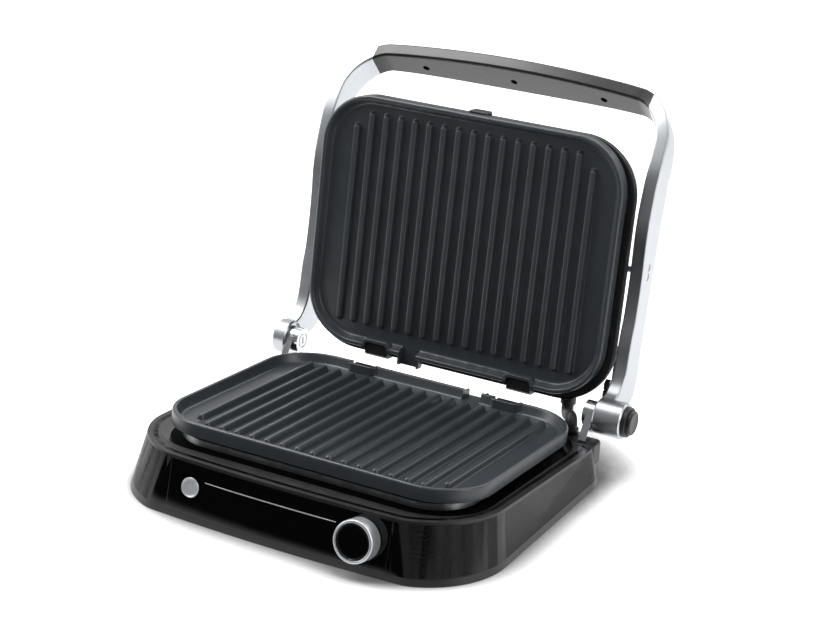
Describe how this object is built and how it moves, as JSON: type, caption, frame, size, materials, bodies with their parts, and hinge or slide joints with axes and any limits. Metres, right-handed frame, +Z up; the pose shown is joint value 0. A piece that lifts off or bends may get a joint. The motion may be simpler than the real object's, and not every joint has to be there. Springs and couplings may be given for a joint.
{
  "type": "contact grill",
  "caption": "Electric indoor contact grill with ribbed plates, hinged floating lid on bent arms, cross grip, control knob, power button and side drip tray.",
  "frame": {"origin": "on the table, at the centre of the four feet", "axes": "+Z up, -Y is the front with the control panel, +X is to the right of a person looking along +Y"},
  "size_m": [0.3573, 0.4258, 0.3204],
  "materials": {
    "gloss_black": "gloss",
    "black_plastic": "satin",
    "grip_black": "satin",
    "coated_aluminium": "satin non-stick coat",
    "brushed_steel": "brushed",
    "brushed_aluminium": "brushed",
    "polished_steel": "polished",
    "heater_steel": "dull",
    "bright_sheet": "bright",
    "screw_steel": "dull",
    "rubber": "matte",
    "board": "satin",
    "light": "clear",
    "ceramic": "matte",
    "knob_silver": "satin",
    "sleeve_fabric": "matte"
  },
  "bodies": {
    "base": {"base_shell": "gloss_black", "base_well": "black_plastic", "base_bottom": "black_plastic", "front_panel": "gloss_black", "light_guide": "light", "control_board": "board", "encoder": "screw_steel", "power_switch": "black_plastic", "lower_plate": "coated_aluminium", "lower_element": "heater_steel", "lower_pan": "bright_sheet", "lower_clips": "black_plastic", "thermostat": "ceramic", "cord_gland": "black_plastic", "foot_front_left": "rubber", "foot_front_right": "rubber", "foot_rear_left": "rubber", "foot_rear_right": "rubber", "bottom_screws": "screw_steel", "hinge_post_left": "polished_steel", "hinge_post_right": "polished_steel", "shoulder_left": "black_plastic", "shoulder_right": "black_plastic", "hinge_pin_left": "screw_steel", "hinge_pin_right": "screw_steel", "sleeve_gland": "black_plastic", "wire_sleeve": "sleeve_fabric"},
    "arms": {"arm_left": "brushed_aluminium", "arm_right": "brushed_aluminium", "grip": "grip_black", "grip_screws": "screw_steel", "hinge_cap": "brushed_aluminium", "release_collar": "black_plastic", "stay_bracket": "brushed_steel", "stay_knob": "black_plastic", "stay_wire": "polished_steel", "pivot_caps": "brushed_steel"},
    "lid": {"lid_frame": "black_plastic", "lid_cover": "brushed_steel", "upper_plate": "coated_aluminium", "upper_element": "heater_steel", "upper_pan": "bright_sheet", "upper_clips": "black_plastic", "lid_stud": "black_plastic", "lid_gland": "black_plastic", "pivot_pins": "polished_steel", "pivot_brackets": "brushed_steel", "frame_screws": "screw_steel"},
    "release": {"release_button": "black_plastic"},
    "power": {"power_button": "knob_silver"},
    "knob": {"knob_ring": "knob_silver", "knob_shaft": "screw_steel"},
    "knob_face": {"knob_cap": "gloss_black"},
    "catch": {"plate_catch": "black_plastic"},
    "tray": {"drip_tray": "black_plastic"}
  },
  "joints": [
    {"name": "lid_hinge", "type": "hinge", "parent": "base", "child": "arms", "pos_m": [0, 0.131, 0.052], "axis": [1, 0, 0], "range_deg": [-61, 97.3], "deforming": ["wire_sleeve"]},
    {"name": "lid_tilt", "type": "hinge", "parent": "arms", "child": "lid", "pos_m": [0, 0.1861, 0.16865], "axis": [1, 0, 0], "range_deg": [-4.8, 3.2], "deforming": ["stay_wire"]},
    {"name": "knob_turn", "type": "hinge", "parent": "base", "child": "knob", "pos_m": [0.078, -0.14352, 0.027], "axis": [0, -0.9763, 0.2164], "continuous": true},
    {"name": "knob_push", "type": "slide", "parent": "knob", "child": "knob_face", "axis": [0, 0.9763, -0.2164], "range_m": [0, 0.0012], "stiffness_N_per_m": 800, "springref_m": -0.001},
    {"name": "power_push", "type": "slide", "parent": "base", "child": "power", "axis": [0, 0.9763, -0.2164], "range_m": [0, 0.0008], "stiffness_N_per_m": 900, "springref_m": -0.001},
    {"name": "release_push", "type": "slide", "parent": "arms", "child": "release", "axis": [-1, 0, 0], "range_m": [0, 0.003], "stiffness_N_per_m": 700, "springref_m": -0.001},
    {"name": "catch_slide", "type": "slide", "parent": "lid", "child": "catch", "axis": [0, 0.1127, 0.9936], "range_m": [0, 0.0025], "stiffness_N_per_m": 700, "springref_m": -0.001},
    {"name": "tray_slide", "type": "slide", "parent": "base", "child": "tray", "axis": [-1, 0, 0], "range_m": [0, 0.14]}
  ],
  "couplings": [
    {"joint": "lid_tilt", "follows": "lid_hinge", "ratio": -0.046968}
  ]
}
